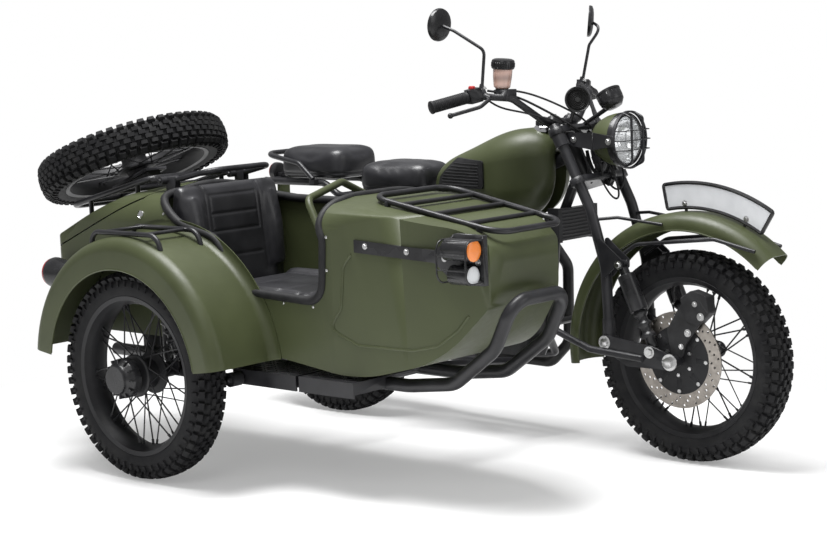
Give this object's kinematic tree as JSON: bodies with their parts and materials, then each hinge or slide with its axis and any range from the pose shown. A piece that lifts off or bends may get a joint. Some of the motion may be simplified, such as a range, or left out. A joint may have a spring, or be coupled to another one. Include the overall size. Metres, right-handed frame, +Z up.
{
  "type": "sidecar motorcycle",
  "caption": "Retro motorcycle with an open one-seat sidecar on its right, wire wheels, leading-link fork, racks and a spare wheel on the boot lid",
  "frame": {"origin": "on the ground under the middle of the whole vehicle", "axes": "+X forward, +Y to the left, +Z up"},
  "size_m": [2.4344, 1.6384, 1.4106],
  "materials": {
    "olive_paint": "matt",
    "frame_black": "satin",
    "wheel_black": "satin",
    "tyre": "matt",
    "disc_steel": "satin",
    "bright_trim": "polished",
    "gauge": "gloss",
    "white_plate": "satin",
    "damper_black": "satin",
    "caliper_black": "satin",
    "engine_black": "satin",
    "cast_alloy": "satin",
    "cooler_black": "satin",
    "exhaust_black": "satin",
    "chain_steel": "satin",
    "pad_rubber": "matt",
    "saddle_vinyl": "satin",
    "red_lens": "gloss",
    "lamp_housing": "gloss"
  },
  "bodies": {
    "chassis": {"motorcycle_frame": "frame_black", "crankcase": "engine_black", "cylinder": "engine_black", "carburettor": "cast_alloy", "oil_cooler": "cooler_black", "exhaust": "exhaust_black", "drive_chain": "chain_steel", "swinging_arm": "frame_black", "rear_dampers": "damper_black", "rear_mudguard": "olive_paint", "fuel_tank": "olive_paint", "knee_pads": "pad_rubber", "fuel_cap": "bright_trim", "rider_saddle": "saddle_vinyl", "pillion_saddle": "saddle_vinyl", "grab_rail": "frame_black", "tail_lamp": "red_lens", "side_covers": "olive_paint", "sidecar_tub": "olive_paint", "cockpit_rim": "pad_rubber", "grab_hoop": "olive_paint", "nose_rack": "frame_black", "seat_cushion": "saddle_vinyl", "seat_back": "saddle_vinyl", "sidecar_mudguard": "olive_paint", "mudguard_rack": "frame_black", "foot_steps": "frame_black", "side_lamps": "lamp_housing", "sidecar_tail_lamp": "red_lens", "sidecar_chassis": "frame_black", "sidecar_arm": "frame_black", "sidecar_damper": "damper_black", "lid_hinge": "frame_black"},
    "steering": {"fork": "frame_black", "handlebar": "frame_black", "mirrors": "frame_black", "headlamp": "olive_paint", "lamp_guard": "frame_black", "speedometer": "gauge", "horn": "bright_trim", "front_mudguard": "olive_paint", "number_plate": "white_plate", "mudguard_stays": "frame_black", "front_link": "frame_black", "front_dampers": "damper_black", "brake_caliper": "caliper_black"},
    "front_wheel_set": {"front_tyre": "tyre", "front_wheel": "wheel_black", "front_brake_disc": "disc_steel"},
    "rear_wheel_set": {"rear_tyre": "tyre", "rear_wheel": "wheel_black"},
    "sidecar_wheel_set": {"sidecar_tyre": "tyre", "sidecar_wheel": "wheel_black"},
    "lid": {"boot_lid": "olive_paint", "spare_carrier": "frame_black", "spare_tyre": "tyre", "spare_wheel": "wheel_black"}
  },
  "joints": [
    {"name": "steering_head", "type": "hinge", "parent": "chassis", "child": "steering", "pos_m": [0.43473, 0.39283, 0.985], "axis": [0.454, 0, -0.891], "range_deg": [-30, 30]},
    {"name": "front_axle", "type": "hinge", "parent": "steering", "child": "front_wheel_set", "pos_m": [0.89023, 0.39283, 0.327], "axis": [0, 1, 0], "continuous": true},
    {"name": "rear_axle", "type": "hinge", "parent": "chassis", "child": "rear_wheel_set", "pos_m": [-0.59977, 0.39283, 0.327], "axis": [0, 1, 0], "continuous": true},
    {"name": "sidecar_axle", "type": "hinge", "parent": "chassis", "child": "sidecar_wheel_set", "pos_m": [-0.39877, -0.69917, 0.327], "axis": [0, 1, 0], "continuous": true},
    {"name": "lid_hinge_pin", "type": "hinge", "parent": "chassis", "child": "lid", "pos_m": [-0.55577, -0.27217, 0.898], "axis": [0, 1, 0], "range_deg": [0, 55]}
  ]
}
